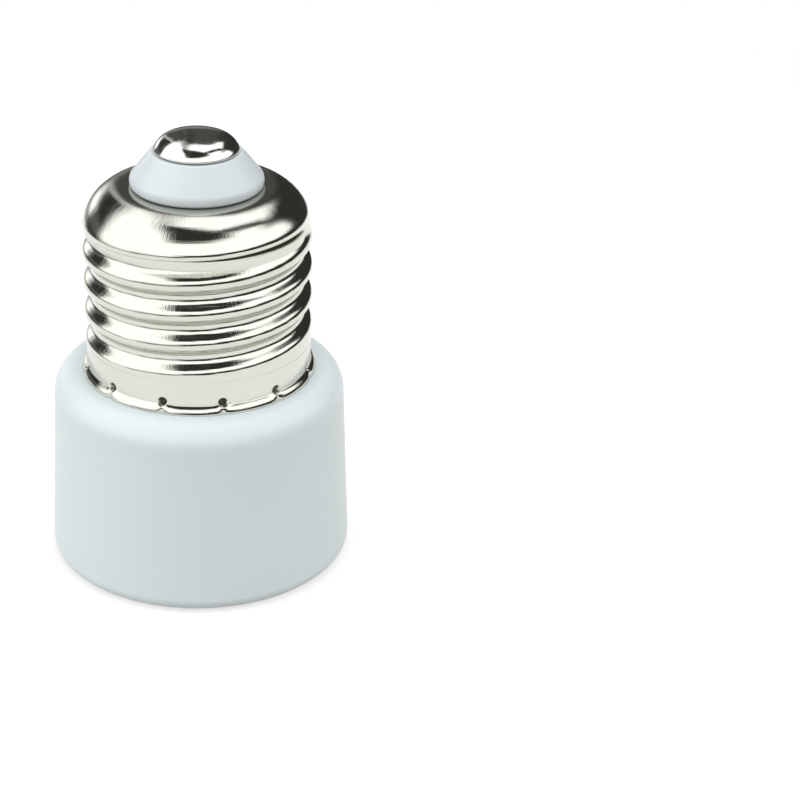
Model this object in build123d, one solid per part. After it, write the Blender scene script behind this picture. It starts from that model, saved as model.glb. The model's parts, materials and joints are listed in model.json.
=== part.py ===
from build123d import *
import os
from math import atan, cos, degrees, hypot, radians, sin, tan

# Adapter that screws into an E27 lamp holder and takes a two-pin plug.
# Millimetres. +Z is the adapter's axis and the origin is the centre of the rim it stands on.
# The socket face looks down (-Z) and the screw base points up. The two pins lie along X.

# Housing
RIM_R = 17.8            # outer radius at the rim
BODY_H = 23.4           # rim to the flat shoulder under the screw shell
BODY_DRAFT = 2.34       # degrees, the side leans in towards the shoulder
RIM_ROUND = 0.8
SHOULDER_ROUND = 2.9
RIM_WALL = 1.97         # wall outside the face plate
POCKET_WALL = 2.6       # wall outside the hollow sides, below the ledge
ROOF_T = 2.5            # plastic between the hollow sides and the shoulder
RIB_HALF = 6.2          # the block with the contact wells fills |y| < this

# Face plate
PLATE_RECESS = 0.3      # the plate lies this far inside the rim
PLATE_T = 2.2
PLATE_GAP = 0.08        # seam all round the plate
PLATE_ROUND = 0.25
TONGUE_T = 1.2          # two snap tongues behind the plate
TONGUE_H = 4.2
TONGUE_ARC = 50.0       # degrees
TONGUE_GAP = 0.12
BEAD_PROUD = 0.35       # snap bead on each tongue
BEAD_H = 0.9

# Pin slots: a bar for a flat blade, joined to a round end for a round pin
BLADE_SPACING = 12.7
BLADE_SLOT_W = 1.9
BLADE_SLOT_L = 8.5
PIN_SPACING = 19.5
PIN_SLOT_D = 5.1
SLOT_ROUND = 0.3

# Contact wells and the hollow neck
WELL_INNER_X = 4.4
WELL_OUTER_X = 13.1
WELL_HALF_W = 4.6
WELL_ROOF_Z = 16.2
WELL_ROOF_T = 1.3
SHAFT_HALF_X = 3.1      # hollow between the wells
SHAFT_FLOOR_T = 1.6
NECK_CLEAR = 0.1        # neck to the screw shell's skirt
NECK_FOOT_H = 2.7
NECK_BORE_R = 9.0
NECK_TOP_DROP = 4.5     # neck's end below the dome's top
NECK_END_T = 2.0
WIRE_HOLE_R = 1.2

# Screw shell, E27 thread rolled in thin sheet
SHEET = 0.3
CREST_R = 13.15
THREAD_DEPTH = 1.02
PITCH = 25.4 / 7
SKIRT_DROP = 0.1        # the plain skirt lies this far inside the crests
SKIRT_STEP_H = 0.25     # height of the step between them
LIP_OUT = 0.6           # the lip stands out this far from the skirt
LIP_H = 0.6
SKIRT_H = 4.1           # plain skirt below the thread
SHELL_WALL_H = 17.35    # shoulder to where the dome springs
DOME_ROUND = 5.2
DOME_HOLE_R = 7.0
INNER_DOME_BANDS = 4
THREAD_TURNS = 3.25     # full-depth turns of the groove
THREAD_START_H = 5.63   # groove's middle above the shoulder where it reaches full depth, at -X
THREAD_START_ANGLE = 180.0
RUNOUT_TURNS = 0.33     # at each end, the part of a turn over which the groove fades out
ROOT_FLAT = 0.9         # width of the groove's root
FLANK_RUN = 0.88        # axial width of the flank
BEVEL_DROP = 0.17       # radial height of the bevel between flank and crest
CREST_LAND = 0.4        # width of the crest between two bevels
GROOVE_PAST = 0.06      # how far the groove's section runs past the crest's radius

# Groove in the neck that the shell's skirt is staked into
STAKE_H = 1.35          # above the shoulder
STAKE_R = 0.5
STAKE_GROOVE_T = 0.5

# Insulating nose
NOSE_H = 4.05           # dome's top to the nose's flat top
NOSE_BASE_R = 7.67
NOSE_TOP_R = 5.2
NOSE_BULGE_H = 0.75     # height of the widest part above the base
NOSE_ROUND = 0.6
NOSE_CLEAR = 0.15
NOSE_SPIGOT_R = 5.0
NOSE_SPIGOT_H = 2.6

# Centre contact
CONTACT_R = 4.84
CONTACT_EDGE_T = 0.35
CONTACT_DOME_H = 1.9
CONTACT_STEM_R = 1.5
CONTACT_STEM_L = 6.5
CONTACT_BORE_R = 0.5

# Contact clips, folded from brass strip
STRIP = 0.5
TROUGH_GAP = 4.6        # clear width for a pin
TROUGH_H = 9.0
CLIP_TOP_GAP = 0.6      # plate's inner face to the clip
ARM_GAP = 0.05          # blade slot to the trough's arms
LEAF_X = 5.75           # blade side of the inner leaf
LEAF_W = 6.4
LEAF_BOW = 0.5          # how far the leaf leans out between its ends
LEAF_TIP_H = 2.4
BACK_W = 3.4
FOOT_GAP = 0.05
FOLD_R = 0.9

# Screws that hold the clips
SCREW_X = 9.3
SCREW_R = 0.85
SCREW_L = 4.2
SCREW_HEAD_R = 1.6
SCREW_HEAD_H = 1.0
SCREW_SLOT_W = 0.4
SCREW_HOLE_CLEAR = 0.05

# Wires
WIRE_R = 0.95
CONDUCTOR_R = 0.4
WIRE_X = 6.6            # where each wire leaves its clip
STRIP_BACK = 0.6        # bare conductor above the well's roof
SOLDER_R = 0.65
SOLDER_H = 0.6
RETURN_X = 8.0          # neutral wire's hole in the neck's end
TAIL_RISE = 0.3         # straight stretch of the bare wire above the neck, before it turns over
RETURN_TAIL = 5.5       # bare tail clamped between neck and shell
WIRE_BEND = 3.0
TOUCH = 0.02            # running gap between hard parts that press on each other

# Levels and radii that follow from the sizes above
SHOULDER_Z = BODY_H
ROOT_R = CREST_R - THREAD_DEPTH
SKIRT_R = CREST_R - SKIRT_DROP
LIP_R = SKIRT_R + LIP_OUT
PLATE_TOP_Z = PLATE_RECESS + PLATE_T
PLATE_SEAT_R = RIM_R - RIM_WALL
SKIRT_TOP_Z = SHOULDER_Z + SKIRT_H
SPRING_Z = SHOULDER_Z + SHELL_WALL_H
DOME_X = CREST_R - DOME_ROUND
DOME_TOP_Z = SPRING_Z + DOME_ROUND
NECK_TOP_Z = DOME_TOP_Z - NECK_TOP_DROP
NECK_R = ROOT_R - SHEET - 2 * NECK_CLEAR
NECK_FOOT_R = SKIRT_R - SHEET - NECK_CLEAR
NOSE_TOP_Z = DOME_TOP_Z + NOSE_H
STAKE_Z = SHOULDER_Z + STAKE_H
FOOT_Z = WELL_ROOF_Z - FOOT_GAP
CLIP_LOW_Z = PLATE_TOP_Z + CLIP_TOP_GAP
PIN_X = PIN_SPACING / 2
BLADE_X = BLADE_SPACING / 2
TAIL_X = ROOT_R - SHEET - CONDUCTOR_R - TOUCH


def side_r(z):
    """Outer radius of the drafted housing at height z."""
    return RIM_R - z * tan(radians(BODY_DRAFT))


def pocket_r(z):
    """Outer radius of the hollow sides at height z."""
    return side_r(z) - POCKET_WALL


def turned(outline):
    """Solid of revolution about Z from a closed outline of (radius, height)."""
    with BuildPart() as part:
        with BuildSketch(Plane.XZ):
            with BuildLine():
                Polyline(*outline, close=True)
            make_face()
        revolve(axis=Axis.Z)
    return part.part


def disc(radius, low, high):
    """Cylinder about Z between two heights."""
    return Pos(0, 0, low) * Cylinder(radius, high - low, align=(Align.CENTER, Align.CENTER, Align.MIN))


def bar(x0, x1, half_w, low, high):
    """Box from x0 to x1, centred on y = 0, between two heights."""
    return Pos(x0, 0, low) * Box(x1 - x0, 2 * half_w, high - low, align=(Align.MIN, Align.CENTER, Align.MIN))


def both_sides(part):
    """A piece made on +X and its copy on -X, half a turn round."""
    return [part, Rot(0, 0, 180) * part]


# Housing


def housing_shell():
    """Drafted body with a rounded rim and shoulder, and the neck on it."""
    body = turned([(0, 0), (RIM_R, 0), (side_r(BODY_H), BODY_H), (0, BODY_H)])
    rim = body.edges().group_by(Axis.Z)[0]
    body = chamfer(rim, RIM_ROUND, RIM_ROUND / 2)
    shoulder = body.edges().group_by(Axis.Z)[-1]
    body = fillet(shoulder, SHOULDER_ROUND)
    foot_top = SHOULDER_Z + NECK_FOOT_H
    slope = NECK_FOOT_R - NECK_R
    neck = turned(
        [
            (0, SHOULDER_Z - ROOF_T),
            (NECK_FOOT_R, SHOULDER_Z - ROOF_T),
            (NECK_FOOT_R, foot_top),
            (NECK_R, foot_top + slope),
            (NECK_R, NECK_TOP_Z - slope),
            (NECK_R - slope, NECK_TOP_Z),
            (0, NECK_TOP_Z),
        ]
    )
    return body + neck


def hollow_sides():
    """The two D-shaped hollows beside the block with the wells."""
    top = SHOULDER_Z - ROOF_T
    core = turned([(0, PLATE_TOP_Z), (pocket_r(PLATE_TOP_Z), PLATE_TOP_Z), (pocket_r(top), top), (0, top)])
    return core - bar(-2 * RIM_R, 2 * RIM_R, RIB_HALF, 0, BODY_H)


def contact_well():
    """Hollow that takes one clip, with the holes in its roof for the wire and the screw."""
    well = bar(WELL_INNER_X, WELL_OUTER_X, WELL_HALF_W, PLATE_TOP_Z - SHEET, WELL_ROOF_Z)
    wire = Pos(WIRE_X, 0, 0) * disc(WIRE_HOLE_R, WELL_ROOF_Z - SHEET, WELL_ROOF_Z + 2 * WELL_ROOF_T)
    pilot_r = SCREW_R + SCREW_HOLE_CLEAR
    pilot = Pos(SCREW_X, 0, 0) * disc(pilot_r, WELL_ROOF_Z - SHEET, WELL_ROOF_Z + SCREW_L)
    return [well, wire, pilot]


def neck_hollow():
    """Bore of the neck, the shaft between the wells, and the holes in the neck's end."""
    floor = PLATE_TOP_Z + SHAFT_FLOOR_T
    bore = disc(NECK_BORE_R, WELL_ROOF_Z + WELL_ROOF_T, NECK_TOP_Z - NECK_END_T)
    shaft = bar(-SHAFT_HALF_X, SHAFT_HALF_X, WELL_HALF_W, floor, WELL_ROOF_Z + 2 * WELL_ROOF_T)
    end = disc(NOSE_SPIGOT_R + NECK_CLEAR, NECK_TOP_Z - 2 * NECK_END_T, NECK_TOP_Z + NECK_END_T)
    back = Pos(-RETURN_X, 0, 0) * disc(WIRE_HOLE_R, NECK_TOP_Z - 2 * NECK_END_T, NECK_TOP_Z + NECK_END_T)
    return [bore, shaft, end, back]


def tail_groove():
    """Groove down the neck's side where the neutral wire's bare tail is clamped."""
    half = CONDUCTOR_R + TOUCH
    low = NECK_TOP_Z - RETURN_TAIL - CONDUCTOR_R
    return bar(-2 * NECK_R, -(TAIL_X - half), half, low, NECK_TOP_Z + NECK_END_T)


def stake_groove():
    """Ring groove in the neck's foot that the stake marks bite into."""
    outer = NECK_FOOT_R + NECK_CLEAR
    half = STAKE_R + SHEET
    return disc(outer, STAKE_Z - half, STAKE_Z + half) - disc(
        NECK_FOOT_R - STAKE_GROOVE_T, STAKE_Z - half, STAKE_Z + half
    )


def snap_groove():
    """Grooves in the hollow sides for the face plate's snap beads."""
    z = PLATE_TOP_Z + TONGUE_H - BEAD_H
    ring = disc(pocket_r(z) + BEAD_PROUD, z - BEAD_H, z + BEAD_H)
    return ring - bar(-2 * RIM_R, 2 * RIM_R, RIB_HALF, 0, BODY_H)


def housing():
    part = housing_shell()
    part -= disc(PLATE_SEAT_R, -RIM_ROUND, PLATE_TOP_Z)
    for cut in [hollow_sides(), snap_groove(), stake_groove(), tail_groove(), *neck_hollow()]:
        part -= cut
    for cut in contact_well():
        for copy in both_sides(cut):
            part -= copy
    return part


# Face plate


def pin_slot():
    """T-shaped slot on the +X side."""
    low, high = PLATE_RECESS - PLATE_T, PLATE_TOP_Z + PLATE_T
    with BuildPart() as part:
        with BuildSketch(Plane.XY.offset(low)):
            with Locations((BLADE_X, 0)):
                RectangleRounded(BLADE_SLOT_W, BLADE_SLOT_L, SLOT_ROUND)
            with Locations(((BLADE_X + PIN_X) / 2, 0)):
                Rectangle(PIN_X - BLADE_X, PIN_SLOT_D)
            with Locations((PIN_X, 0)):
                Circle(PIN_SLOT_D / 2)
        extrude(amount=high - low)
    return part.part


def snap_tongue():
    """Curved tongue behind the plate on the +Y side, with a bead that snaps into the housing."""
    root = PLATE_TOP_Z - PLATE_T / 2
    top = PLATE_TOP_Z + TONGUE_H
    outer = pocket_r(top) - TONGUE_GAP
    bead_z = top - BEAD_H
    outline = [
        (outer - TONGUE_T, root),
        (outer, root),
        (outer, bead_z - BEAD_H / 2),
        (outer + BEAD_PROUD, bead_z),
        (outer, bead_z + BEAD_H / 2),
        (outer - TONGUE_T / 2, top),
        (outer - TONGUE_T, top),
    ]
    with BuildPart() as part:
        with BuildSketch(Plane.XZ):
            with BuildLine():
                Polyline(*outline, close=True)
            make_face()
        revolve(axis=Axis.Z, revolution_arc=TONGUE_ARC)
    return Rot(0, 0, 90 - TONGUE_ARC / 2) * part.part


def face_plate():
    plate = disc(PLATE_SEAT_R - PLATE_GAP, PLATE_RECESS, PLATE_TOP_Z)
    plate = chamfer(plate.edges().group_by(Axis.Z)[0], PLATE_ROUND)
    for tongue in both_sides(snap_tongue()):
        plate += tongue
    for slot in both_sides(pin_slot()):
        plate -= slot
    return plate


# Screw shell


def helical_bar(section, turns, spread):
    """Solid that winds up from +X, with the section's corners as (radius, height). It leans out by
    the angle spread as it climbs."""
    pitch = PITCH / cos(radians(spread))
    lines = [Pos(0, 0, h) * Edge.make_helix(pitch, turns * PITCH, r, angle=spread) for r, h in section]
    pairs = list(zip(lines, lines[1:] + lines[:1]))
    faces = [Face.make_surface_from_curves(a, b) for a, b in pairs]
    for end in (0, 1):
        faces.append(Face(Wire([Edge.make_line(a @ end, b @ end) for a, b in pairs])))
    return Solid(Shell(faces))


def thread_groove(section):
    """The groove at full depth, and a runout at each end that brings it out to the crest."""
    start_z = SHOULDER_Z + THREAD_START_H
    full = helical_bar(section, THREAD_TURNS, 0)
    spread = degrees(atan((CREST_R - ROOT_R + GROOVE_PAST) / (RUNOUT_TURNS * PITCH)))
    runout = helical_bar(section, RUNOUT_TURNS, spread)
    above = Pos(0, 0, THREAD_TURNS * PITCH) * Rot(0, 0, 360 * THREAD_TURNS) * runout
    below = Rot(180, 0, 0) * runout
    return [Pos(0, 0, start_z) * Rot(0, 0, THREAD_START_ANGLE) * piece for piece in (full, above, below)]


def groove_section(corners, crest_r):
    """All corners of a groove's section, with its sides run on a little past the crest's radius."""
    (r0, h0), (r1, h1) = corners[-2:]
    far_r = crest_r + GROOVE_PAST
    far_h = h1 + (far_r - r1) * (h1 - h0) / (r1 - r0)
    side = [*corners[:-1], (far_r, far_h)]
    return [(r, -h) for r, h in reversed(side)] + side


def outer_groove():
    """Groove outside: a flat root, two flanks and a bevel at each crest."""
    root = ROOT_FLAT / 2
    flank = (CREST_R - BEVEL_DROP, root + FLANK_RUN)
    edge = (CREST_R, (PITCH - CREST_LAND) / 2)
    return thread_groove(groove_section([(ROOT_R, root), flank, edge], CREST_R))


def inner_groove():
    """The same groove one sheet's thickness further in."""
    slope = FLANK_RUN / (THREAD_DEPTH - BEVEL_DROP)
    root_r = ROOT_R - SHEET
    crest_r = CREST_R - SHEET
    root = ROOT_FLAT / 2 + SHEET * (hypot(1, slope) - slope)
    edge = (crest_r, root + (crest_r - root_r) * slope)
    return thread_groove(groove_section([(root_r, root), edge], crest_r))


def outer_blank():
    """Solid inside the shell's outer face: lip, skirt, crest cylinder and dome."""
    spring = (CREST_R, SPRING_Z)
    half_way = radians(45)
    mid = (DOME_X + DOME_ROUND * cos(half_way), SPRING_Z + DOME_ROUND * sin(half_way))
    with BuildPart() as part:
        with BuildSketch(Plane.XZ):
            with BuildLine():
                Polyline(
                    (0, SHOULDER_Z),
                    (LIP_R, SHOULDER_Z),
                    (LIP_R, SHOULDER_Z + SHEET),
                    (SKIRT_R, SHOULDER_Z + LIP_H),
                    (SKIRT_R, SKIRT_TOP_Z - SKIRT_STEP_H),
                    (CREST_R, SKIRT_TOP_Z),
                    spring,
                )
                ThreePointArc(spring, mid, (DOME_X, DOME_TOP_Z))
                Polyline((DOME_X, DOME_TOP_Z), (0, DOME_TOP_Z), (0, SHOULDER_Z))
            make_face()
        revolve(axis=Axis.Z)
    return part.part


def inner_blank():
    """Solid inside the shell's inner face, with the dome's hidden side as a few straight bands."""
    crest_r = CREST_R - SHEET
    skirt_r = SKIRT_R - SHEET
    arc = [radians(90 * i / INNER_DOME_BANDS) for i in range(INNER_DOME_BANDS + 1)]
    round_r = DOME_ROUND - SHEET
    dome = [(DOME_X + round_r * cos(a), SPRING_Z + round_r * sin(a)) for a in arc]
    low = SHOULDER_Z - SHEET
    outline = [(0, low), (skirt_r, low), (skirt_r, SKIRT_TOP_Z - SKIRT_STEP_H), (crest_r, SKIRT_TOP_Z)]
    return turned([*outline, *dome, (0, DOME_TOP_Z - SHEET)])


def screw_shell():
    outside = outer_blank()
    for piece in outer_groove():
        outside -= piece
    inside = inner_blank()
    for piece in inner_groove():
        inside -= piece
    shell = outside - inside
    return shell - disc(DOME_HOLE_R, DOME_TOP_Z - 2 * SHEET, DOME_TOP_Z + SHEET)


# Nose and centre contact


def nose_insulator():
    """Truncated cone over the shell's hole, with a shank that seats in the neck's end."""
    base_z = DOME_TOP_Z
    shank_r = DOME_HOLE_R - NOSE_CLEAR
    spigot_low = NECK_TOP_Z - NOSE_SPIGOT_H
    outline = [
        (CONTACT_STEM_R + NECK_CLEAR, NOSE_TOP_Z),
        (NOSE_TOP_R, NOSE_TOP_Z),
        (NOSE_BASE_R, base_z + NOSE_BULGE_H),
        (NOSE_BASE_R, base_z + NOSE_ROUND / 2),
        (NOSE_BASE_R - NOSE_ROUND / 2, base_z),
        (shank_r, base_z),
        (shank_r, NECK_TOP_Z),
        (NOSE_SPIGOT_R, NECK_TOP_Z),
        (NOSE_SPIGOT_R, spigot_low),
        (2 * CONTACT_STEM_R, spigot_low),
        (2 * CONTACT_STEM_R, NECK_TOP_Z + CONTACT_STEM_R),
        (CONTACT_STEM_R + NECK_CLEAR, NECK_TOP_Z + CONTACT_STEM_R),
    ]
    return turned(outline)


def centre_contact():
    """Domed disc with a tubular stem that takes the live wire."""
    low = NOSE_TOP_Z
    edge = low + CONTACT_EDGE_T
    top = edge + CONTACT_DOME_H
    dome_r = (CONTACT_R**2 + CONTACT_DOME_H**2) / (2 * CONTACT_DOME_H)
    half = radians(degrees(atan(CONTACT_R / (dome_r - CONTACT_DOME_H))) / 2)
    mid = (dome_r * sin(half), top - dome_r + dome_r * cos(half))
    with BuildPart() as part:
        with BuildSketch(Plane.XZ):
            with BuildLine():
                Polyline((0, top), (0, low), (CONTACT_R, low), (CONTACT_R, edge))
                ThreePointArc((CONTACT_R, edge), mid, (0, top))
            make_face()
        revolve(axis=Axis.Z)
    stem = disc(CONTACT_STEM_R, low - CONTACT_STEM_L, low)
    bore = disc(CONTACT_BORE_R, low - CONTACT_STEM_L, low)
    return part.part + stem - bore


# Contact clips


def swept(section, points, radii):
    """Solid of a section that follows straight runs joined by arcs."""
    path = FilletPolyline(*points, radius=radii)
    plane = Plane(origin=path @ 0, x_dir=(0, 1, 0), z_dir=path % 0)
    return sweep(plane * section, path=path)


def pin_trough():
    """Half-round spring trough that grips a round pin."""
    inner = TROUGH_GAP / 2
    outer = inner + STRIP
    arm_x = BLADE_X + BLADE_SLOT_W / 2 + ARM_GAP
    arms = Pos((PIN_X + arm_x) / 2, 0) * Rectangle(PIN_X - arm_x, 2 * outer)
    hollow = Pos(PIN_X - outer, 0) * Rectangle(2 * outer, 2 * inner)
    plan = arms + Pos(PIN_X, 0) * Circle(outer) - hollow - Pos(PIN_X, 0) * Circle(inner)
    return extrude(Pos(0, 0, CLIP_LOW_Z) * plan, TROUGH_H)


def contact_clip():
    """Clip on the +X side: trough, back, foot under the well's roof and the leaf that meets a blade."""
    mid = STRIP / 2
    back_x = PIN_X + TROUGH_GAP / 2 + mid
    foot_z = FOOT_Z - mid
    leaf_x = LEAF_X - mid
    trough_top = CLIP_LOW_Z + TROUGH_H
    back_run = [(back_x, 0, trough_top - STRIP), (back_x, 0, foot_z), (SCREW_X, 0, foot_z)]
    leaf_run = [
        (SCREW_X, 0, foot_z),
        (leaf_x - LEAF_BOW, 0, foot_z),
        (leaf_x, 0, CLIP_LOW_Z + LEAF_TIP_H),
        (leaf_x - LEAF_BOW, 0, CLIP_LOW_Z),
    ]
    back = swept(Rectangle(BACK_W, STRIP), back_run, FOLD_R)
    leaf = swept(Rectangle(LEAF_W, STRIP), leaf_run, FOLD_R)
    holes = Pos(SCREW_X, 0, 0) * disc(SCREW_R + SCREW_HOLE_CLEAR, foot_z - STRIP, FOOT_Z + STRIP)
    holes += Pos(WIRE_X, 0, 0) * disc(CONDUCTOR_R + TOUCH, foot_z - STRIP, FOOT_Z + STRIP)
    return back + leaf + pin_trough() - holes


def clip_screw():
    """Self-tapping pan-head screw that holds a clip's foot against the well's roof."""
    under_foot = FOOT_Z - STRIP
    head = disc(SCREW_HEAD_R, under_foot - SCREW_HEAD_H, under_foot)
    head = chamfer(head.edges().group_by(Axis.Z)[0], SCREW_HEAD_H / 2)
    slot = bar(-SCREW_HEAD_R, SCREW_HEAD_R, SCREW_SLOT_W / 2, under_foot - SCREW_HEAD_H, under_foot - SCREW_HEAD_H / 2)
    shank = disc(SCREW_R, under_foot, under_foot + SCREW_L)
    return Pos(SCREW_X, 0, 0) * (head - slot + shank)


# Wires


def bend(points, radii, radius):
    """Round wire that follows straight runs joined by arcs."""
    return swept(Circle(radius), points, radii)


def live_wire():
    """From the +X clip up the neck's bore into the centre contact's stem."""
    start = FOOT_Z - STRIP - SOLDER_H / 2
    bare_top = WELL_ROOF_Z + STRIP_BACK
    sleeve_end = NOSE_TOP_Z - CONTACT_STEM_L - STRIP
    turn_low = bare_top + 3 * WIRE_R
    turn_high = turn_low + WIRE_X
    way = [(WIRE_X, 0, turn_low), (0, 0, turn_high)]
    sleeve = bend([(WIRE_X, 0, bare_top), *way, (0, 0, sleeve_end)], WIRE_BEND, WIRE_R)
    foot = Pos(WIRE_X, 0, 0) * disc(CONDUCTOR_R, start, bare_top)
    return sleeve + foot + disc(CONDUCTOR_R, sleeve_end, NOSE_TOP_Z - STRIP)


def neutral_wire():
    """From the -X clip up the bore, through the neck's end and back down outside the neck."""
    start = FOOT_Z - STRIP - SOLDER_H / 2
    bare_top = WELL_ROOF_Z + STRIP_BACK
    turn_low = bare_top + 3 * WIRE_R
    turn_high = turn_low + 3 * WIRE_R
    sleeve_end = NECK_TOP_Z + TOUCH
    way = [(-WIRE_X, 0, turn_low), (-RETURN_X, 0, turn_high)]
    sleeve = bend([(-WIRE_X, 0, bare_top), *way, (-RETURN_X, 0, sleeve_end)], WIRE_BEND, WIRE_R)
    foot = Pos(-WIRE_X, 0, 0) * disc(CONDUCTOR_R, start, bare_top)
    return sleeve + foot + neutral_tail(sleeve_end)


def neutral_tail(low):
    """Bare end that turns over the neck's end in a half circle and runs down its groove."""
    turn_r = (TAIL_X - RETURN_X) / 2
    top = low + TAIL_RISE
    with BuildPart() as part:
        with BuildLine() as path:
            Line((-RETURN_X, 0, low - WIRE_R), (-RETURN_X, 0, top))
            ThreePointArc((-RETURN_X, 0, top), (-RETURN_X - turn_r, 0, top + turn_r), (-TAIL_X, 0, top))
            Line((-TAIL_X, 0, top), (-TAIL_X, 0, NECK_TOP_Z - RETURN_TAIL))
        with BuildSketch(Plane(origin=path.line @ 0, z_dir=(0, 0, 1))):
            Circle(CONDUCTOR_R)
        sweep(path=path.line)
    return part.part


def solder_joint():
    """Bead of solder under a clip's foot, round the end of its wire."""
    top = FOOT_Z - STRIP
    low = top - SOLDER_H
    bead = turned([(0, top), (SOLDER_R, top), (SOLDER_R / 2, low), (0, low)])
    return Pos(WIRE_X, 0, 0) * (bead - disc(CONDUCTOR_R, top - SOLDER_H / 2, top))


def main():
    clips = both_sides(contact_clip())
    nodes = {
        "housing": [housing()],
        "face_plate": [face_plate()],
        "screw_shell": [screw_shell()],
        "nose_insulator": [nose_insulator()],
        "centre_contact": [centre_contact()],
        "live_clip": [clips[0]],
        "neutral_clip": [clips[1]],
        "clip_screws": both_sides(clip_screw()),
        "live_wire": [live_wire()],
        "neutral_wire": [neutral_wire()],
        "solder_joints": both_sides(solder_joint()),
    }
    os.makedirs("parts", exist_ok=True)
    for name, pieces in nodes.items():
        export_step(Compound(children=pieces) if len(pieces) > 1 else pieces[0], f"parts/{name}.step")


main()
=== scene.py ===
import json
import math

import bmesh
import bpy
import numpy as np
from mathutils import Matrix, Vector

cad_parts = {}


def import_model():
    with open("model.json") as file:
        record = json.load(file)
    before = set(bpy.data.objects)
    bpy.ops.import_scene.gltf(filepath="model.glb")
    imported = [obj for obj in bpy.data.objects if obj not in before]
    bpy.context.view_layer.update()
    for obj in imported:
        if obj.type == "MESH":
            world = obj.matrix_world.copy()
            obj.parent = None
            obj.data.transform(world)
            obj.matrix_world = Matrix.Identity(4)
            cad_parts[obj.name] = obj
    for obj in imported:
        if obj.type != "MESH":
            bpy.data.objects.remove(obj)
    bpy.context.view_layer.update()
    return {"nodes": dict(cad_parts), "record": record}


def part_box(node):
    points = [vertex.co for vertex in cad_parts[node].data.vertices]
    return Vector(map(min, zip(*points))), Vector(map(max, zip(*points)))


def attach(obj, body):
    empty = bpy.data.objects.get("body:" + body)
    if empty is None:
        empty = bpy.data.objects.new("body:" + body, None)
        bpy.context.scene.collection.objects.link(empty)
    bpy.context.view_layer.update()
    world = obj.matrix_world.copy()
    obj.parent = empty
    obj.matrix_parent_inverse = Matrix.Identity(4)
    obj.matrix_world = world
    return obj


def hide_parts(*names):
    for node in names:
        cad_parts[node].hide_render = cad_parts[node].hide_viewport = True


MM = 0.001

# Photograph's camera, fitted to the standing adapter
FOCAL_PX = 2250.0
PHOTO_PX = 800.0
SENSOR_MM = 36.0
CAMERA_AT = Vector((23.667, -237.100, 140.234)) * MM
CAMERA_PITCH = 27.009     # degrees downwards
CAMERA_ROLL = -1.781      # degrees
CLIP_START = 0.01
CLIP_END = 10

# Screw shell's rolled thread
CREST_R = 13.15
ROOT_R = 12.13
PITCH = 25.4 / 7
FLANK_SLOPE = 50          # degrees
GROOVE_START_Z = 29.03    # the groove's middle where it reaches full depth
GROOVE_START_ANGLE = -90  # degrees from the front (-Y) towards +X
THREAD_TURNS = 3.25
RUNOUT_TURNS = 0.36       # at each end, the part of a turn over which the groove fades out

# Screw shell's skirt, lip and dome
SKIRT_R = 13.05
SKIRT_STEP = (3.6, 4.2)   # heights above the shoulder between which the skirt widens to the crests
LIP_R = 13.65
LIP_H = 1.0
LIP_FULLNESS = 0.75       # exponent of the lip's bulge: the lower, the squarer
SHEET = 0.3
DOME_ROUND = 5.2
DOME_HOLE_R = 7.0
HOLE_EDGE = ((0.35, -0.03), (0.1, -0.12), (0.0, -SHEET))  # (beyond the hole's radius, from the dome's top)

# Stake marks round the skirt
STAKES = 12
STAKE_ANGLE = 16.9        # degrees from the front (-Y) towards +X
STAKE_H = 1.35
STAKE_R = 0.48
STAKE_SIDE = (0.55, 1.15)  # where its side begins and ends, as shares of STAKE_R
STAKE_DEPTH = 0.55
CUSP_H = 0.5              # how far the lip is drawn up under each mark
CUSP_W = 0.375            # distance along the lip over which a cusp falls to about a third
CUSP_PINCH = 0.35         # the share of its bulge that the lip loses at a cusp

# Rows and columns of the shell's mesh
MARK_ROWS = (2.35, 0.085)      # at the lip and the marks: height that they reach, spacing
THREAD_ROWS = (2.4, 0.105)     # height where they start, spacing
DOME_ROWS = (36, 1.25, 3)      # degrees: end of the fine rows, their spacing, the spacing above
INNER_DOME_ROWS = 6
INNER_WALL_ROWS = (0.4, 0.45)  # distance below the dome's spring, spacing
MARK_COLUMNS = (3.6, 0.45)     # degrees: half width of the fine columns at a mark, their spacing
BETWEEN_MARKS = 14             # coarse columns from mark to mark, with the fine ones at both ends

# Length that the texture runs on inside the shell, from one row to the next
HOLE_EDGE_RUN = 0.2
INNER_DOME_RUN = 1.5
LIP_FOOT_RUN = 0.4

# Housing
RIM_R = 17.8
BODY_DRAFT = 2.34         # degrees, the side leans in towards the shoulder
RIM_ROUND = 1.6
SHOULDER_R = 2.9
SEAT_R = 15.83            # seat of the face plate
SEAT_ROUND = 0.15
SEAT_WALL_H = 1.0         # how far the new skin goes up the seat's wall
NECK_CLEAR = 0.1          # neck to the screw shell's skirt
HOUSING_MESH = (14, 180)  # steps of a round, columns

# How the solid housing's outer faces are told from its inner ones
SKIN_DEPTH = 0.6          # how deep its rounds and chamfers lie under its drafted side
SKIN_TILT = 0.05          # least outward part of the normal on its side
FLAT_TILT = 0.9           # least upward part of the normal on its flat shoulder
FLAT_OFF = 0.01           # most that a face of the flat shoulder is off its height
SEAT_MARGIN = 0.1         # its rim starts this far outside the seat

# Insulating nose
NOSE_TOP_R = 5.2
NOSE_TOP_ROUND = 0.28
NOSE_WIDE_R = 7.67
NOSE_WIDE_H = 0.95        # height of the widest part above the dome
NOSE_WIDE_ROUND = 1.1
NOSE_FOOT_IN = 0.12
NOSE_FOOT_ROUND = 0.45
NOSE_SINK = 0.02          # how far its underside dips towards the dome's hole
HOLE_CLEAR = 0.15
SPIGOT_R = 5.0
SPIGOT_H = 2.6
STEM_CLEAR = 0.1
NOSE_MESH = (8, 144)      # steps of a round, columns

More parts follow.
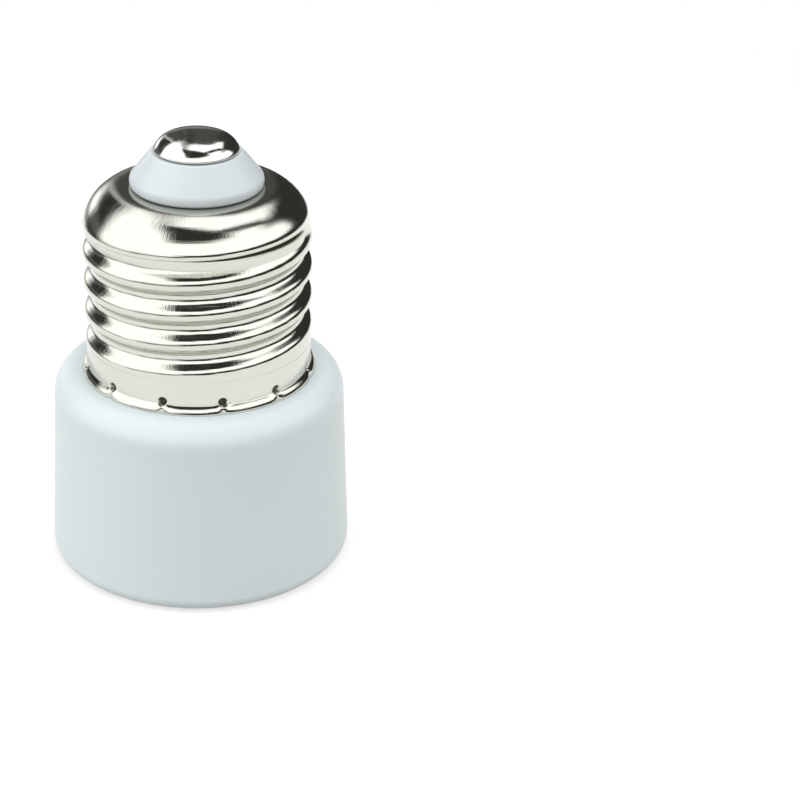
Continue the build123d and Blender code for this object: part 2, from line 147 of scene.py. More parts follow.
# Contact on the nose
CONTACT_R = 4.84
CROWN_R = 11.0            # flat middle of the contact
CROWN_END_R = 3.25
SIDE_SLOPE = 65           # degrees, where the contact's side meets its rolled edge
CONTACT_EDGE_R = 0.2
CONTACT_FOOT_IN = 0.45    # the flat underside ends this far inside the edge
STEM_R = 1.5
STEM_L = 6.5
STEM_BORE_R = 0.5
BORE_END = 0.5            # the stem's bore stops this far below the seat of its edge
CONTACT_ARCS = (10, 16, 14)  # points along the edge's, the side's and the crown's arc
CONTACT_COLUMNS = 128

# Joining of points, in metres, and shading of edges
AXIS_JOIN = 1e-7
CREASE_JOIN = 1e-6
CREASE_ANGLE = 35         # degrees


# Meshes


def mesh_object(name, vertices, faces):
    """Smooth-shaded object in the row's frame, from points in millimetres."""
    mesh = bpy.data.meshes.new(name)
    mesh.from_pydata([tuple(v) for v in np.asarray(vertices) * MM], [], [tuple(f) for f in faces])
    mesh.update()
    mesh.polygons.foreach_set("use_smooth", [True] * len(mesh.polygons))
    piece = bpy.data.objects.new(name, mesh)
    bpy.context.collection.objects.link(piece)
    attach(piece, "root")
    return piece


def ring_grid(rings, columns, closed):
    """Faces of a grid of rings by columns. The last ring joins the first where closed."""
    faces = []
    for i in range(rings if closed else rings - 1):
        here, above = i * columns, (i + 1) % rings * columns
        for j in range(columns):
            beside = (j + 1) % columns
            faces.append((here + j, here + beside, above + beside, above + j))
    return faces


def turned_points(angles, radii, heights):
    """Points of one ring. Angles count from the front (-Y) towards +X."""
    return [(r * math.sin(a), -r * math.cos(a), z) for a, r, z in zip(angles, radii, heights)]


def add_uv(piece, u, v):
    """UV map from one value per vertex in each direction. A face that closes the turn ends on 1, not 0."""
    layer = piece.data.uv_layers.new(name="along")
    index = np.zeros(len(piece.data.loops), int)
    piece.data.loops.foreach_get("vertex_index", index)
    across = u[index].reshape(-1, 4)
    closing = (across.max(1) - across.min(1) > 0.5)[:, None] & (across < 0.5)
    layer.data.foreach_set("uv", np.stack([(across + closing).ravel(), v[index]], 1).ravel())


def add_value(piece, name, values):
    """One number per vertex, for the material."""
    layer = piece.data.attributes.new(name, "FLOAT", "POINT")
    layer.data.foreach_set("value", values)


def close_turned(piece):
    """Joins the points of a turned piece that lie together on its axis, and faces it outwards."""
    mesh = bmesh.new()
    mesh.from_mesh(piece.data)
    bmesh.ops.remove_doubles(mesh, verts=mesh.verts, dist=AXIS_JOIN)
    bmesh.ops.recalc_face_normals(mesh, faces=mesh.faces)
    mesh.to_mesh(piece.data)
    mesh.free()


def lathe(name, outline, columns, closed=True):
    """Turned piece from an outline of (radius, height) in millimetres."""
    angles = np.linspace(0, 2 * math.pi, columns, endpoint=False)
    vertices = []
    for radius, height in outline:
        vertices += turned_points(angles, [radius] * columns, [height] * columns)
    piece = mesh_object(name, vertices, ring_grid(len(outline), columns, closed))
    run = np.concatenate([[0], np.cumsum([math.dist(p, q) for p, q in zip(outline, outline[1:])])])
    add_uv(piece, np.tile(angles / (2 * math.pi), len(outline)), np.repeat(run, columns))
    if closed:
        close_turned(piece)
    return piece


def rounded(corners, steps):
    """Outline whose corners (radius, height, round) are replaced by arcs."""
    points = []
    count = len(corners)
    for i, (r, z, size) in enumerate(corners):
        if not size:
            points.append((r, z))
            continue
        here = Vector((r, z))
        before = (Vector(corners[i - 1][:2]) - here).normalized()
        after = (Vector(corners[(i + 1) % count][:2]) - here).normalized()
        half = before.angle(after) / 2
        reach = size / math.tan(half)
        centre = here + (before + after).normalized() * (size / math.sin(half))
        start, end = here + before * reach - centre, here + after * reach - centre
        turn = start.angle_signed(end)
        for k in range(steps + 1):
            points.append(tuple(centre + Matrix.Rotation(-turn * k / steps, 2) @ start))
    return points


def crease_nodes():
    """Node group that joins coincident points, then keeps every edge sharper than the crease angle."""
    group = bpy.data.node_groups.new("crease", "GeometryNodeTree")
    group.interface.new_socket("Geometry", in_out="INPUT", socket_type="NodeSocketGeometry")
    group.interface.new_socket("Geometry", in_out="OUTPUT", socket_type="NodeSocketGeometry")
    start, end = node(group, "NodeGroupInput"), node(group, "NodeGroupOutput")
    merge = node(group, "GeometryNodeMergeByDistance", Distance=CREASE_JOIN)
    angle = node(group, "GeometryNodeInputMeshEdgeAngle")
    sharper = node(group, "FunctionNodeCompare", operation="GREATER_THAN", B=math.radians(CREASE_ANGLE))
    smooth = node(group, "GeometryNodeSetShadeSmooth", domain="FACE")
    smooth.inputs["Shade Smooth"].default_value = True
    sharp = node(group, "GeometryNodeSetShadeSmooth", domain="EDGE")
    sharp.inputs["Shade Smooth"].default_value = False
    group.links.new(start.outputs[0], merge.inputs["Geometry"])
    group.links.new(merge.outputs["Geometry"], smooth.inputs["Geometry"])
    group.links.new(smooth.outputs["Geometry"], sharp.inputs["Geometry"])
    group.links.new(angle.outputs["Unsigned Angle"], sharper.inputs["A"])
    group.links.new(sharper.outputs["Result"], sharp.inputs["Selection"])
    group.links.new(sharp.outputs["Geometry"], end.inputs[0])
    return group


def crease(piece, group):
    """Smooth shading with sharp creases, in which flat faces stay flat beside small rounds."""
    piece.modifiers.new("crease", "NODES").node_group = group
    piece.modifiers.new("flat_faces_lead", "WEIGHTED_NORMAL").keep_sharp = True


# Screw shell


def smooth_step(value, low, high):
    t = np.clip((value - low) / (high - low), 0, 1)
    return t * t * (3 - 2 * t)


def from_stake(angle):
    """Distance along the skirt to the nearest stake mark."""
    step = 2 * math.pi / STAKES
    return (np.mod(angle - math.radians(STAKE_ANGLE) + step / 2, step) - step / 2) * SKIRT_R


def stake_mark(angle, above):
    """One inside a stake mark, zero outside it, at a height above the shoulder."""
    away = np.hypot(from_stake(angle), above - STAKE_H) / STAKE_R
    return 1 - smooth_step(away, *STAKE_SIDE)


def shell_columns():
    """Angles round the shell, close together at each stake mark."""
    half, spacing = MARK_COLUMNS
    near = np.arange(-half, half + spacing / 2, spacing)
    far = np.linspace(half, 360 / STAKES - half, BETWEEN_MARKS)[1:-1]
    one_step = np.concatenate([near, far])
    marks = [STAKE_ANGLE + 360 / STAKES * i for i in range(STAKES)]
    return np.sort(np.mod(np.radians(np.concatenate([mark + one_step for mark in marks])), 2 * math.pi))


def groove_depth(angle, z):
    """Depth of the rolled groove below the crests: straight flanks between arcs at root and crest."""
    depth = CREST_R - ROOT_R
    slope = math.radians(FLANK_SLOPE)
    arc = (PITCH / 2 * math.tan(slope) - depth) / (2 * (1 / math.cos(slope) - 1))
    arc_run = arc * math.sin(slope)
    turn = (angle - math.radians(GROOVE_START_ANGLE)) / (2 * math.pi)
    rise = (z - GROOVE_START_Z) / PITCH
    along = turn + np.round(rise - turn)
    off = np.minimum(np.abs(rise - along) * PITCH, PITCH / 2)
    at_root = depth - arc + np.sqrt(arc**2 - np.minimum(off, arc_run) ** 2)
    at_crest = arc - np.sqrt(arc**2 - np.minimum(PITCH / 2 - off, arc_run) ** 2)
    on_flank = depth / 2 + (PITCH / 4 - off) * math.tan(slope)
    full = np.where(off < arc_run, at_root, np.where(off > PITCH / 2 - arc_run, at_crest, on_flank))
    fade_in = smooth_step(along, -RUNOUT_TURNS, 0)
    fade_out = 1 - smooth_step(along, THREAD_TURNS, THREAD_TURNS + RUNOUT_TURNS)
    return full * fade_in * fade_out


def wall_radius(angle, z, shoulder):
    """Outer radius of the shell's wall: lip, skirt and thread, with the stake marks pressed in."""
    above = z - shoulder
    plain = SKIRT_R + (CREST_R - SKIRT_R) * smooth_step(above, *SKIRT_STEP)
    cusp = np.exp(-np.abs(from_stake(angle)) / CUSP_W)
    bulge = np.clip(1 - (above / (LIP_H + CUSP_H * cusp)) ** 2, 0, 1) ** LIP_FULLNESS
    lip = (LIP_R - SKIRT_R) * bulge * (1 - CUSP_PINCH * cusp)
    return plain - groove_depth(angle, z) + lip - STAKE_DEPTH * stake_mark(angle, above)


def shell_levels():
    """Heights that the frame gives the shell: its shoulder, where the dome springs, and its top."""
    low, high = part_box("screw_shell")
    top = high.z / MM
    return low.z / MM, top - DOME_ROUND, top


def outer_rings(angles):
    """Rings of the wall and the dome, each with its radii, its heights and its run from the shoulder."""
    shoulder, spring, top = shell_levels()
    count = len(angles)
    wall_h = spring - shoulder
    rows = np.concatenate([np.arange(0, *MARK_ROWS), np.arange(THREAD_ROWS[0], wall_h, THREAD_ROWS[1])])
    for above in rows:
        z = np.full(count, shoulder + above)
        yield wall_radius(angles, z, shoulder), z, above
    fine_end, fine, coarse = DOME_ROWS
    rises = np.concatenate([np.arange(0, fine_end, fine), np.arange(fine_end, 90 + coarse / 2, coarse)])
    for rise in np.radians(rises):
        z = np.full(count, spring + DOME_ROUND * math.sin(rise))
        radius = CREST_R - DOME_ROUND + DOME_ROUND * math.cos(rise)
        yield radius - groove_depth(angles, z), z, wall_h + DOME_ROUND * rise


def inner_rings(angles, run):
    """Rings of the hole's edge and the inner face, down to the lip's foot."""
    shoulder, spring, top = shell_levels()
    count = len(angles)
    for outside, drop in HOLE_EDGE:
        run += HOLE_EDGE_RUN
        yield np.full(count, DOME_HOLE_R + outside), np.full(count, top + drop), run
    inner = DOME_ROUND - SHEET
    for rise in np.linspace(math.pi / 2, 0, INNER_DOME_ROWS):
        run += INNER_DOME_RUN
        radius = CREST_R - DOME_ROUND + inner * math.cos(rise)
        yield np.full(count, radius), np.full(count, spring + inner * math.sin(rise)), run
    below_spring, spacing = INNER_WALL_ROWS
    for above in np.arange(spring - shoulder - below_spring, 0, -spacing):
        run += spacing
        z = np.full(count, shoulder + above)
        yield wall_radius(angles, z, shoulder) - SHEET, z, run
    yield np.full(count, LIP_R - SHEET), np.full(count, shoulder), run + LIP_FOOT_RUN


def screw_shell():
    """Rolled thread, dome and lip of the sheet-metal screw shell, with its inner face."""
    angles = shell_columns()
    rings = list(outer_rings(angles))
    rings += inner_rings(angles, rings[-1][2])
    vertices = []
    for radii, heights, run in rings:
        vertices += turned_points(angles, radii, heights)
    faces = ring_grid(len(rings), len(angles), True)
    piece = mesh_object("screw_shell_skin", vertices, faces)
    turn = np.mod(angles / (2 * math.pi) + 0.5, 1)
    runs = np.array([run for radii, heights, run in rings])
    add_uv(piece, np.tile(turn, len(rings)), np.repeat(runs, len(angles)))
    shoulder = shell_levels()[0]
    marks = [stake_mark(angles, heights - shoulder) for radii, heights, run in rings]
    # How much each point lies in a stake mark; the material paints the marks' shade by this value
    add_value(piece, "mark", np.concatenate(marks))
    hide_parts("screw_shell")
    return piece


# Housing, nose and contact


def side_radius(z):
    """Outer radius of the drafted housing at height z."""
    return RIM_R - z * math.tan(math.radians(BODY_DRAFT))


def on_outside(face, shoulder):
    """Whether a face of the solid housing belongs to its outer skin."""
    middle = face.calc_center_median() / MM
    radius, z = math.hypot(middle.x, middle.y), middle.z
    faces_out = (face.normal.x * middle.x + face.normal.y * middle.y) / radius > SKIN_TILT
    side = faces_out and radius > side_radius(z) - SKIN_DEPTH
    round_shoulder = faces_out and radius > LIP_R and z > shoulder - SHOULDER_R
    flat_shoulder = abs(z - shoulder) < FLAT_OFF and face.normal.z > FLAT_TILT
    rim = z < RIM_ROUND / 2 and radius > SEAT_R + SEAT_MARGIN
    return side or round_shoulder or flat_shoulder or rim


def housing(group):
    """Housing whose rim and shoulder are truly round. The wells and hollows inside are the solid's."""
    solid = frame["nodes"]["housing"]
    shoulder = shell_levels()[0]
    corners = [
        (SEAT_R, SEAT_WALL_H, 0),
        (SEAT_R, 0, SEAT_ROUND),
        (RIM_R, 0, RIM_ROUND),
        (side_radius(shoulder), shoulder, SHOULDER_R),
        (SKIRT_R - SHEET - NECK_CLEAR, shoulder, 0),
    ]
    steps, columns = HOUSING_MESH
    piece = lathe("housing_skin", rounded(corners, steps), columns, closed=False)
    inside = bmesh.new()
    inside.from_mesh(solid.data)
    outer = [face for face in inside.faces if on_outside(face, shoulder)]
    bmesh.ops.delete(inside, geom=outer, context="FACES")
    inside.from_mesh(piece.data)
    inside.to_mesh(piece.data)
    inside.free()
    crease(piece, group)
    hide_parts("housing")
    return piece


def nose():
    """Insulating nose with its rounded foot and the narrow lip round the contact, shank and all."""
    low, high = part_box("nose_insulator")
    top, foot = high.z / MM, shell_levels()[2]
    spigot_low = low.z / MM
    spigot_top = spigot_low + SPIGOT_H
    bore = STEM_R + STEM_CLEAR
    in_hole = DOME_HOLE_R - HOLE_CLEAR
    corners = [
        (bore, top, 0),
        (NOSE_TOP_R, top, NOSE_TOP_ROUND),
        (NOSE_WIDE_R, foot + NOSE_WIDE_H, NOSE_WIDE_ROUND),
        (NOSE_WIDE_R - NOSE_FOOT_IN, foot, NOSE_FOOT_ROUND),
        (in_hole, foot - NOSE_SINK, 0),
        (in_hole, spigot_top, 0),
        (SPIGOT_R, spigot_top, 0),
        (SPIGOT_R, spigot_low, 0),
        (2 * STEM_R, spigot_low, 0),
        (2 * STEM_R, spigot_top + STEM_R, 0),
        (bore, spigot_top + STEM_R, 0),
    ]
    steps, columns = NOSE_MESH
    piece = lathe("nose_insulator_skin", rounded(corners, steps), columns)
    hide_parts("nose_insulator")
    return piece


def contact():
    """Domed contact with a small rolled edge, on its tubular stem."""
    low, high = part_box("centre_contact")
    top, stem_low = high.z / MM, low.z / MM
    seat = stem_low + STEM_L
    crown, side = math.asin(CROWN_END_R / CROWN_R), math.radians(SIDE_SLOPE)
    edge = CONTACT_EDGE_R
    side_end = CONTACT_R - edge * (1 - math.sin(side))
    side_r = (side_end - CROWN_END_R) / (math.sin(side) - math.sin(crown))
    side_top = top - CROWN_R * (1 - math.cos(crown))
    edge_z = side_top - side_r * (math.cos(crown) - math.cos(side)) - edge * math.cos(side)
    outline = [
        (0, seat - BORE_END),
        (STEM_BORE_R, seat - BORE_END),
        (STEM_BORE_R, stem_low),
        (STEM_R, stem_low),
        (STEM_R, seat),
        (CONTACT_R - CONTACT_FOOT_IN, seat),
    ]
    edge_points, side_points, crown_points = CONTACT_ARCS
    for angle in np.linspace(math.pi, side, edge_points):
        outline.append((CONTACT_R - edge + edge * math.sin(angle), edge_z + edge * math.cos(angle)))
    for angle in np.linspace(side, crown, side_points)[1:]:
        reach = CROWN_END_R + side_r * (math.sin(angle) - math.sin(crown))
        outline.append((reach, side_top - side_r * (math.cos(crown) - math.cos(angle))))
    for angle in np.linspace(crown, 0, crown_points)[1:]:
        outline.append((CROWN_R * math.sin(angle), top - CROWN_R * (1 - math.cos(angle))))
    piece = lathe("centre_contact_skin", outline, CONTACT_COLUMNS)
    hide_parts("centre_contact")
    return piece


# Materials

# Each plastic: two tints that it drifts between, roughness, strength of its grain
PLASTICS = {
    "white_plastic": ((0.625, 0.688, 0.700), (0.640, 0.700, 0.710), 0.36, 0.10),
    "nose_plastic": ((0.565, 0.615, 0.630), (0.580, 0.628, 0.640), 0.33, 0.08),
    "brown_cover": ((0.10, 0.045, 0.022), (0.12, 0.055, 0.03), 0.42, 0.15),
    "blue_cover": ((0.02, 0.09, 0.30), (0.03, 0.10, 0.33), 0.42, 0.15),
}
# Each small metal part: two tints, roughness, scale and strength of its grain
METALS = {
    "nickel_contact": ((0.70, 0.70, 0.67), (0.66, 0.66, 0.63), 0.09, 1500, 0.05),
    "brass_strip": ((0.72, 0.52, 0.24), (0.60, 0.42, 0.19), 0.28, 2500, 0.12),
    "zinc_steel": ((0.60, 0.61, 0.62), (0.52, 0.53, 0.55), 0.3, 2500, 0.12),
    "solder": ((0.60, 0.61, 0.62), (0.5, 0.51, 0.52), 0.35, 1800, 0.3),
}
# The screw shell: two tints, roughness, strength of its streaks
NICKEL_PLATE = ((0.665, 0.665, 0.610), (0.640, 0.640, 0.580), 0.045, 0.4)
# Near-black painted into the stake marks: painted shade, standing in for the shade inside their punched
# holes
STAKE_PAINTED_SHADE = (0.05, 0.05, 0.04)
PLASTIC_IOR = 1.47


def node(tree, kind, **values):
    """New node. Each value goes to the input of that name, or else to the node's own setting."""
    made = tree.nodes.new(kind)
    for key, value in values.items():
        if key in made.inputs:
            made.inputs[key].default_value = value
        else:
            setattr(made, key, value)
    return made


def material(name, base, roughness, metallic=0.0):
    mat = bpy.data.materials.new(name)
    mat.use_nodes = True
    shader = mat.node_tree.nodes["Principled BSDF"]
    shader.inputs["Base Color"].default_value = (*base, 1)
    shader.inputs["Roughness"].default_value = roughness
    shader.inputs["Metallic"].default_value = metallic
    return mat, mat.node_tree, shader


def noise(tree, scale, detail=2.0, source="Object", stretch=(1, 1, 1)):
    """Noise in object or UV space, stretched along an axis where asked."""
    place = node(tree, "ShaderNodeTexCoord")
    mapping = node(tree, "ShaderNodeMapping", Scale=stretch)
    texture = node(tree, "ShaderNodeTexNoise", Scale=scale, Detail=detail)
    tree.links.new(place.outputs[source], mapping.inputs["Vector"])
    tree.links.new(mapping.outputs["Vector"], texture.inputs["Vector"])
    return texture.outputs["Fac"]


def add_bump(tree, shader, height, strength, distance, below=None):
    """Bump on the shader, over the bump below where there is one."""
    bump = node(tree, "ShaderNodeBump", Strength=strength, Distance=distance)
    tree.links.new(height, bump.inputs["Height"])
    if below:
        tree.links.new(below, bump.inputs["Normal"])
    tree.links.new(bump.outputs["Normal"], shader.inputs["Normal"])
    return bump.outputs["Normal"]


def vary(tree, fac, socket, low, high):
    """Maps a texture's middle range to a socket's values."""
    ramp = node(tree, "ShaderNodeMapRange")
    limits = {"From Min": 0.3, "From Max": 0.7, "To Min": low, "To Max": high}
    for name, value in limits.items():
        ramp.inputs[name].default_value = value
    tree.links.new(fac, ramp.inputs["Value"])
    tree.links.new(ramp.outputs["Result"], socket)


def tints(tree, fac, first, second):
    """Colour that drifts between two tints."""
    mix = node(tree, "ShaderNodeMix", data_type="RGBA")
    mix.inputs["A"].default_value = (*first, 1)
    mix.inputs["B"].default_value = (*second, 1)
    tree.links.new(fac, mix.inputs["Factor"])
    return mix.outputs["Result"]


def plastic(name, first, second, roughness, grain):
    """Moulded plastic: a fine matte grain, slow waviness and a slight drift of tone."""
    mat, tree, shader = material(name, first, roughness)
    shader.inputs["IOR"].default_value = PLASTIC_IOR
    tree.links.new(tints(tree, noise(tree, scale=60), first, second), shader.inputs["Base Color"])
    vary(tree, noise(tree, scale=900), shader.inputs["Roughness"], roughness - 0.05, roughness + 0.06)
    wave = add_bump(tree, shader, noise(tree, scale=90), strength=0.15, distance=0.0002)
    add_bump(tree, shader, noise(tree, scale=4200, detail=3), strength=grain, distance=0.00002, below=wave)
    return mat


def drawn_metal(name, first, second, roughness, streak):
    """Plated sheet, drawn and rolled: streaks down the dome, lines round the thread, and painted shade
    that turns the stake marks near-black, as if they were deep holes."""
    mat, tree, shader = material(name, first, roughness, 1.0)
    down = noise(tree, scale=1.0, detail=3, source="UV", stretch=(620, 0.5, 1))
    around = noise(tree, scale=1.0, detail=3, source="UV", stretch=(5, 9, 1))
    vary(tree, down, shader.inputs["Roughness"], roughness, roughness + 0.07)
    soft = add_bump(tree, shader, noise(tree, scale=260), strength=0.07, distance=0.0001)
    rolled = add_bump(tree, shader, around, strength=streak * 0.5, distance=0.00005, below=soft)
    add_bump(tree, shader, down, strength=streak, distance=0.00003, below=rolled)
    # Painted shade: inside the stake marks the colour turns near-black, in place of the shade of deep
    # holes
    mark = node(tree, "ShaderNodeAttribute", attribute_name="mark")
    painted_mark_shade = node(tree, "ShaderNodeMix", data_type="RGBA")
    painted_mark_shade.inputs["B"].default_value = (*STAKE_PAINTED_SHADE, 1)
    tree.links.new(mark.outputs["Fac"], painted_mark_shade.inputs["Factor"])
    tree.links.new(tints(tree, noise(tree, scale=220), first, second), painted_mark_shade.inputs["A"])
    tree.links.new(painted_mark_shade.outputs["Result"], shader.inputs["Base Color"])
    return mat


def plain_metal(name, first, second, roughness, grain_scale, grain):
    """Small metal part with a fine grain and a drift of tone."""
    mat, tree, shader = material(name, first, roughness, 1.0)
    tree.links.new(tints(tree, noise(tree, scale=500), first, second), shader.inputs["Base Color"])
    vary(tree, noise(tree, grain_scale), shader.inputs["Roughness"], roughness - 0.06, roughness + 0.1)
    add_bump(tree, shader, noise(tree, grain_scale, detail=3), strength=grain, distance=0.00004)
    return mat


def make_materials():
    made = {name: plastic(name, *values) for name, values in PLASTICS.items()}
    made.update({name: plain_metal(name, *values) for name, values in METALS.items()})
    made["nickel_plate"] = drawn_metal("nickel_plate", *NICKEL_PLATE)
    return made


# Surroundings

# What the bright metal mirrors: white softboxes with dark patches between and below them. A patch is what
# lies beyond all of its planes, each a direction (+X right, +Y back, +Z up), the distance along it and a
# soft edge. Its level is what is left of the white.
PATCHES = {
    "wedge": (0.0, [
        ((1, 0, 0), -0.36, 0.03),
        ((-0.447, -0.894, 0), 0.03, 0.05),
        ((-1, -1, 0), -0.18, 0.08),
        ((-0.1, 0, 1), 0.76, 0.03),
    ]),
    "bridge": (0.0, [
        ((0.878, -0.479, 0), 0.27, 0.03),
        ((-0.878, 0.479, 0), -0.46, 0.03),
        ((0, 1, 0), -0.32, 0.05),
        ((0, -1, 0), -0.35, 0.05),
    ]),
    "arm": (0.3, [
        ((1, -0.2, 0), -0.38, 0.03),
        ((-1, 0.2, 0), 0.26, 0.03),
        ((0, 1, 0), -0.15, 0.1),
        ((0, 0, 1), 0.5, 0.1),
    ]),
    "back": (0.03, [
        ((0, 1, 0), 0.60, 0.03),
        ((1, 0, 0), -0.19, 0.04),
        ((-1, 0, 0), -0.17, 0.05),
        ((0, 0, 1), 0.1, 0.1),
    ]),
    "back_right_end": (0.03, [
        ((0, 1, 0), 0.74, 0.03),
        ((1, 0, 0), 0.1, 0.04),
        ((-1, 0, 0), -0.4, 0.05),
        ((0, 0, 1), 0.1, 0.1),
    ]),
    "back_left_end": (0.03, [
        ((0, 1, 0), 0.70, 0.03),
        ((1, 0, 0), -0.34, 0.04),
        ((-1, 0, 0), 0.15, 0.05),
        ((0, 0, 1), 0.1, 0.1),
    ]),
    "back_left": (0.0, [
        ((-0.589, 0.808, 0), 0.75, 0.03),
        ((-1, 0, 0), 0.36, 0.05),
        ((0, 0, 1), 0.2, 0.06),
    ]),
    "back_left_low": (0.06, [
        ((-0.589, 0.808, 0), 0.77, 0.03),
        ((0, -1, 0), -0.72, 0.05),
        ((0, 0, -1), -0.24, 0.06),
    ]),
    "back_low": (0.16, [
        ((0, 1, 0), 0.6, 0.1),
        ((1, 0, 0), -0.4, 0.1),
        ((0, 0, -1), -0.14, 0.1),
    ]),
    "back_right": (0.0, [
        ((0.735, 0.678, 0), 0.715, 0.03),
        ((-0.53, 0.848, 0), -0.05, 0.05),
        ((1, 0, 0), -0.02, 0.03),
    ]),
    "right_tail": (0.25, [
        ((0.9, 0.436, 0), 0.67, 0.03),
        ((-1, 0, 0), -0.76, 0.04),
        ((0, 1, 0), 0.1, 0.08),
    ]),
    "right_low": (0.0, [
        ((0.5, 0.866, 0), 0.0, 0.15),
        ((1, 0, 0), 0.0, 0.1),
        ((0, 0, -1), -0.23, 0.05),
    ]),
    "front_low": (0.0, [
        ((0.966, -0.259, 0), 0.0, 0.15),
        ((0, 0, -1), -0.25, 0.04),
        ((0, -1, 0), 0.0, 0.1),
    ]),
    "left_low": (0.4, [
        ((0, -1, 0), 0.5, 0.1),
        ((-1, 0, 0), 0.2, 0.15),
        ((0, 0, -1), -0.12, 0.05),
    ]),
    "below": (0.25, [((0, 0, -1), 0.03, 0.03)]),
}
SOFTBOX = (1.6, 1.6, 1.6)
DARK_ROOM = (0.040, 0.040, 0.034)

# Each lamp: place in metres, size, power in watts, colour
LAMPS = {
    "left_lamp": ((-0.32, -0.05, 0.16), 0.25, 0.13, (0.96, 0.99, 1.0)),
    "right_lamp": ((0.32, 0.06, 0.14), 0.25, 0.17, (0.96, 0.99, 1.0)),
    "top_lamp": ((0.0, -0.1, 0.42), 0.3, 0.56, (0.96, 0.99, 1.0)),
    "back_lamp": ((0.05, 0.34, 0.16), 0.25, 0.4, (0.98, 0.99, 1.0)),
}
LAMP_AIM = Vector((0, 0, 0.02))

FLOOR_R = 0.2
FLOOR_COLOUR = (0.40, 0.40, 0.388)
FLOOR_ROUGHNESS = 0.7
FLOOR_GLOW = 0.57         # brings the lit floor up to white, for the rays that show it


def math_node(tree, operation, *values):
    """Math node whose inputs are numbers or other nodes' outputs."""
    made = node(tree, "ShaderNodeMath", operation=operation)
    for socket, value in zip(made.inputs, values):
        if isinstance(value, (int, float)):
            socket.default_value = value
        else:
            tree.links.new(value, socket)
    return made.outputs[0]


def beyond(tree, direction, normal, limit, soft):
    """One beyond a plane across the world's directions, zero before it."""
    along = node(tree, "ShaderNodeVectorMath", operation="DOT_PRODUCT")
    along.inputs[1].default_value = normal
    tree.links.new(direction, along.inputs[0])
    made = node(tree, "ShaderNodeMapRange", interpolation_type="SMOOTHSTEP")
    made.inputs["From Min"].default_value = limit - soft
    made.inputs["From Max"].default_value = limit + soft
    tree.links.new(along.outputs["Value"], made.inputs["Value"])
    return made.outputs["Result"]


def studio_level(tree):
    """How much of the softboxes' white is left in each direction."""
    direction = node(tree, "ShaderNodeTexCoord").outputs["Generated"]
    total = None
    for level, planes in PATCHES.values():
        inside = None
        for plane in planes:
            mask = beyond(tree, direction, *plane)
            inside = mask if inside is None else math_node(tree, "MULTIPLY", inside, mask)
        left = math_node(tree, "SUBTRACT", 1, math_node(tree, "MULTIPLY", inside, 1 - level))
        total = left if total is None else math_node(tree, "MULTIPLY", total, left)
    return total


def choose(tree, picked, otherwise, where):
    """Shader that is the first where a factor is one, and the second where it is zero."""
    mix = node(tree, "ShaderNodeMixShader")
    tree.links.new(where, mix.inputs[0])
    tree.links.new(otherwise.outputs[0], mix.inputs[1])
    tree.links.new(picked.outputs[0], mix.inputs[2])
    return mix


def world():
    """Studio seen by the object, and plain white for the camera."""
    made = bpy.data.worlds.new("studio")
    made.use_nodes = True
    tree = made.node_tree
    tree.nodes.clear()
    studio = node(tree, "ShaderNodeBackground", Strength=1.0)
    tree.links.new(tints(tree, studio_level(tree), DARK_ROOM, SOFTBOX), studio.inputs["Color"])
    white = node(tree, "ShaderNodeBackground", Color=(1, 1, 1, 1), Strength=1.0)
    rays = node(tree, "ShaderNodeLightPath").outputs
    shown = math_node(tree, "MAXIMUM", rays["Is Camera Ray"], rays["Is Transmission Ray"])
    out = node(tree, "ShaderNodeOutputWorld")
    tree.links.new(choose(tree, white, studio, shown).outputs[0], out.inputs["Surface"])
    bpy.context.scene.world = made


def lamp(name, at, size, power, colour):
    """Square lamp that faces the object and isn't mirrored in it."""
    light = bpy.data.lights.new(name, "AREA")
    light.size = size
    light.energy = power
    light.color = colour
    made = bpy.data.objects.new(name, light)
    bpy.context.collection.objects.link(made)
    made.location = at
    made.rotation_mode = "QUATERNION"
    made.rotation_quaternion = (LAMP_AIM - Vector(at)).to_track_quat("-Z", "Y")
    made.visible_glossy = False


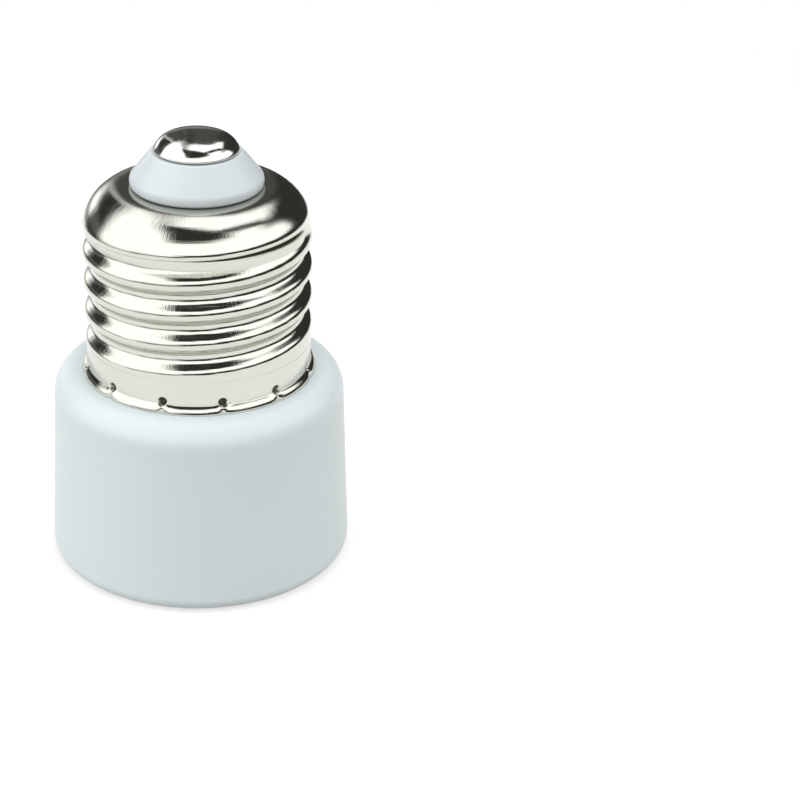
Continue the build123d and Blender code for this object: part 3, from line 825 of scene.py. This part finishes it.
def floor():
    """Pale floor, white to the eye and to the metal apart from the object's soft shadow."""
    bpy.ops.mesh.primitive_circle_add(vertices=96, radius=FLOOR_R, fill_type="NGON", location=(0, 0, 0))
    piece = bpy.context.object
    piece.name = "studio_floor"
    mat, tree, shader = material("pale_floor", FLOOR_COLOUR, FLOOR_ROUGHNESS)
    wear = noise(tree, scale=40)
    vary(tree, wear, shader.inputs["Roughness"], FLOOR_ROUGHNESS - 0.05, FLOOR_ROUGHNESS + 0.05)
    glow = node(tree, "ShaderNodeEmission", Strength=FLOOR_GLOW)
    black = node(tree, "ShaderNodeEmission", Strength=0.0)
    rays = node(tree, "ShaderNodeLightPath").outputs
    direct = math_node(tree, "MAXIMUM", rays["Is Camera Ray"], rays["Is Glossy Ray"])
    shown = math_node(tree, "MAXIMUM", direct, rays["Is Transmission Ray"])
    add = node(tree, "ShaderNodeAddShader")
    tree.links.new(shader.outputs[0], add.inputs[0])
    tree.links.new(choose(tree, glow, black, shown).outputs[0], add.inputs[1])
    tree.links.new(add.outputs[0], tree.nodes["Material Output"].inputs["Surface"])
    piece.data.materials.append(mat)


def camera():
    """Camera at the photograph's place, with its tilt and roll."""
    data = bpy.data.cameras.new("photo_camera")
    data.sensor_width = SENSOR_MM
    data.lens = FOCAL_PX * SENSOR_MM / PHOTO_PX
    data.clip_start = CLIP_START
    data.clip_end = CLIP_END
    made = bpy.data.objects.new("photo_camera", data)
    bpy.context.collection.objects.link(made)
    pitch, roll = math.radians(CAMERA_PITCH), math.radians(CAMERA_ROLL)
    ahead = Vector((0, math.cos(pitch), -math.sin(pitch)))
    up = Vector((0, math.sin(pitch), math.cos(pitch)))
    right = Vector((1, 0, 0))
    across = math.cos(roll) * right - math.sin(roll) * up
    above = math.sin(roll) * right + math.cos(roll) * up
    turn = Matrix((across, above, -ahead)).transposed()
    made.matrix_world = Matrix.Translation(CAMERA_AT) @ turn.to_4x4()
    bpy.context.scene.camera = made


# Scene


def dress(piece, look):
    """Gives a piece one material in place of any that it has."""
    piece.data.materials.clear()
    piece.data.materials.append(look)


def dress_nodes(looks, group):
    """Gives every CAD node its material and smooth shading."""
    slots = {part["node"]: part["material_slot"] for part in frame["record"]["subparts"]}
    for name, piece in frame["nodes"].items():
        dress(piece, looks[slots[name]])
        crease(piece, group)


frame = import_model()
camera()
world()
for lamp_name, settings in LAMPS.items():
    lamp(lamp_name, *settings)
floor()
materials = make_materials()
creases = crease_nodes()
dress_nodes(materials, creases)
dress(screw_shell(), materials["nickel_plate"])
dress(housing(creases), materials["white_plastic"])
dress(nose(), materials["nose_plastic"])
dress(contact(), materials["nickel_contact"])
bpy.context.scene.view_settings.view_transform = "Standard"
